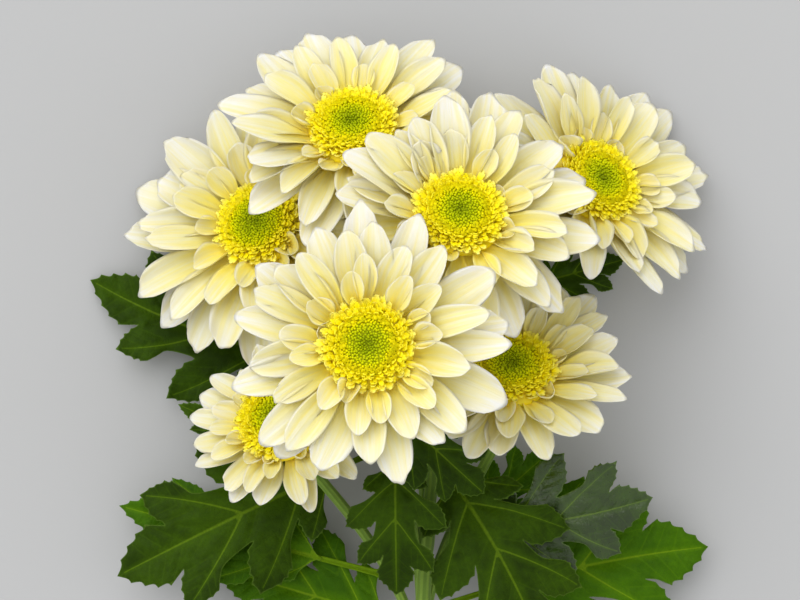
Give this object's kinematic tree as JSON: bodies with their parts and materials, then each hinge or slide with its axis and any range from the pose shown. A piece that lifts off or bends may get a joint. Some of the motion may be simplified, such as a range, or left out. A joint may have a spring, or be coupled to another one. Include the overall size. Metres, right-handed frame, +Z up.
{
  "type": "spray chrysanthemum",
  "caption": "Cut stem of pale yellow double spray chrysanthemum with green-eyed blooms on branching stalks and lobed dark green leaves, lying on its back.",
  "frame": {"origin": "bottom centre of the whole spray's box, on the surface that it lies on", "axes": "+Y along the stem from its cut end to the flower head, +Z up from the surface, the way that the blooms look"},
  "size_m": [0.1812, 0.4374, 0.093],
  "materials": {
    "petals": "matte, faintly satin petals, cream at the tips and pale yellow at the base",
    "ring": "matte strong yellow florets",
    "disc": "matte yellow green florets, darker in the middle",
    "calyx": "matte green bracts",
    "stem": "ribbed, slightly hairy green",
    "leaf": "dark green, satin above and dull below, with paler veins"
  },
  "bodies": {
    "root": {"front_calyx": "calyx", "front_disc": "disc", "front_petals": "petals", "front_ring": "ring", "leaf_hanging": "leaf", "leaf_hanging_right": "leaf", "leaf_left_back": "leaf", "leaf_left_front": "leaf", "leaf_left_low": "leaf", "leaf_right_back": "leaf", "leaf_right_far": "leaf", "leaf_right_front": "leaf", "leaf_right_gloss": "leaf", "leaf_small_left": "leaf", "leaf_stem_lower": "leaf", "leaf_stem_middle": "leaf", "leaf_stem_upper": "leaf", "leaf_upper_left": "leaf", "leaf_upper_right": "leaf", "left_calyx": "calyx", "left_disc": "disc", "left_petals": "petals", "left_ring": "ring", "lower_left_calyx": "calyx", "lower_left_disc": "disc", "lower_left_petals": "petals", "lower_left_ring": "ring", "lower_right_calyx": "calyx", "lower_right_disc": "disc", "lower_right_petals": "petals", "lower_right_ring": "ring", "middle_calyx": "calyx", "middle_disc": "disc", "middle_petals": "petals", "middle_ring": "ring", "right_calyx": "calyx", "right_disc": "disc", "right_petals": "petals", "right_ring": "ring", "stem": "stem", "top_calyx": "calyx", "top_disc": "disc", "top_petals": "petals", "top_ring": "ring"}
  },
  "joints": []
}
